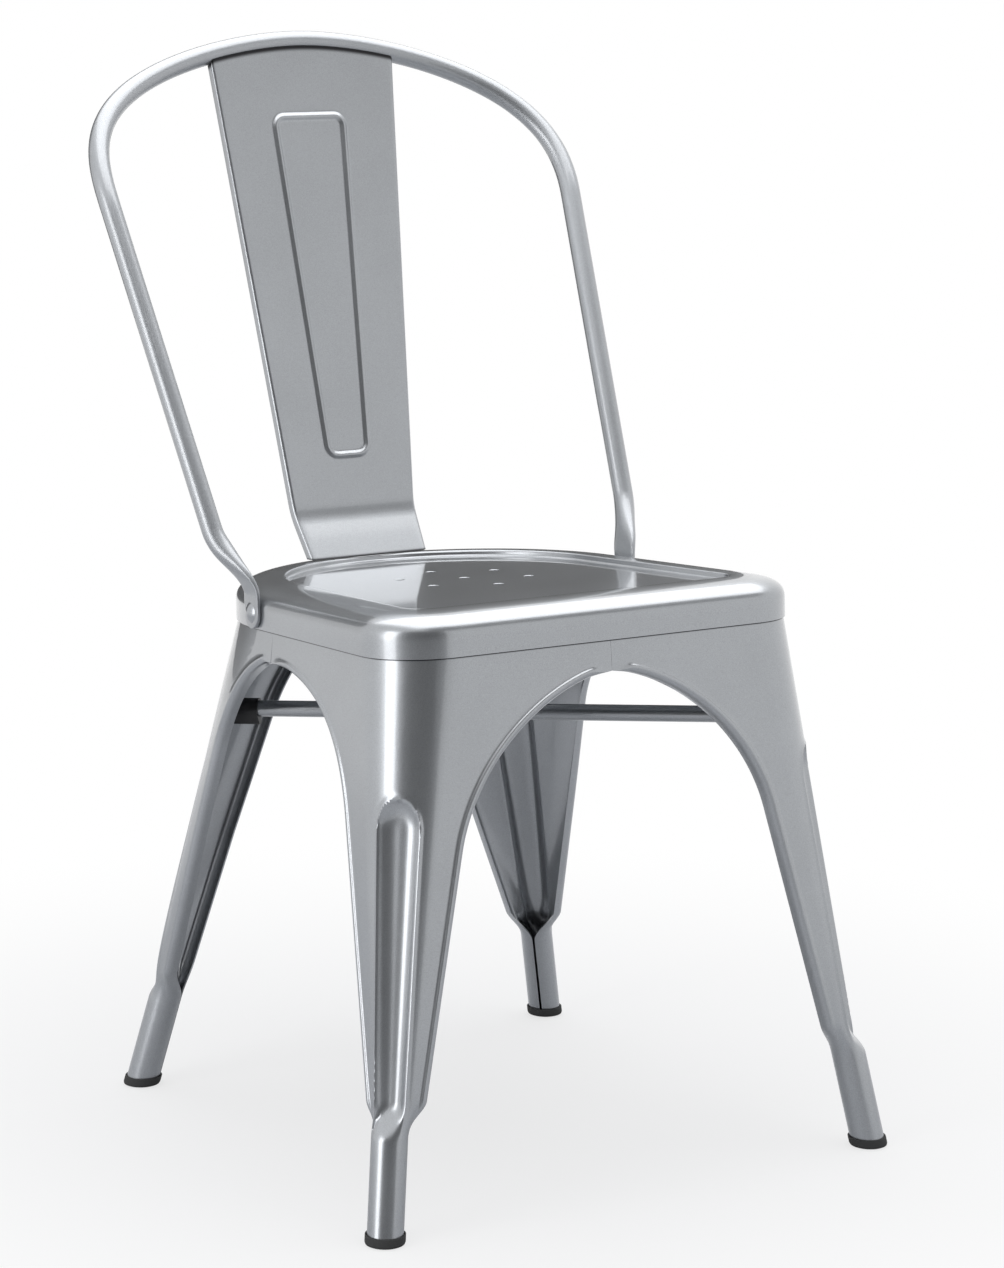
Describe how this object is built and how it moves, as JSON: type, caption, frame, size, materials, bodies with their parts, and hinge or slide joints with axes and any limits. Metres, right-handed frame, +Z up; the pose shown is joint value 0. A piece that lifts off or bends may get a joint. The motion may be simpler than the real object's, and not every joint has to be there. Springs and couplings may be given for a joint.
{
  "type": "metal bistro chair",
  "caption": "Stacking metal bistro chair with a pressed seat pan, splayed pressed sheet legs, a bent tube back and a sheet back splat.",
  "frame": {"origin": "middle of the chair's bounding box, on the floor", "axes": "+X towards the right side of the chair as it is seen from the front, +Y from the front legs towards the back, +Z up"},
  "size_m": [0.4716, 0.5476, 0.85],
  "materials": {
    "silver_paint": "gloss metallic",
    "black_plastic": "satin",
    "black_rubber": "matt"
  },
  "bodies": {
    "root": {"seat_pan": "silver_paint", "leg_front_left": "silver_paint", "leg_front_right": "silver_paint", "leg_rear_left": "silver_paint", "leg_rear_right": "silver_paint", "back_hoop": "silver_paint", "back_splat": "silver_paint", "brace_main": "silver_paint", "brace_cross": "silver_paint", "hoop_rivet_left": "silver_paint", "hoop_rivet_right": "silver_paint", "rivet_washer_left": "silver_paint", "rivet_washer_right": "silver_paint", "brace_cap_front_left": "black_plastic", "brace_cap_front_right": "black_plastic", "brace_cap_rear_left": "black_plastic", "brace_cap_rear_right": "black_plastic", "foot_cap_front_left": "black_rubber", "foot_cap_front_right": "black_rubber", "foot_cap_rear_left": "black_rubber", "foot_cap_rear_right": "black_rubber"}
  },
  "joints": []
}
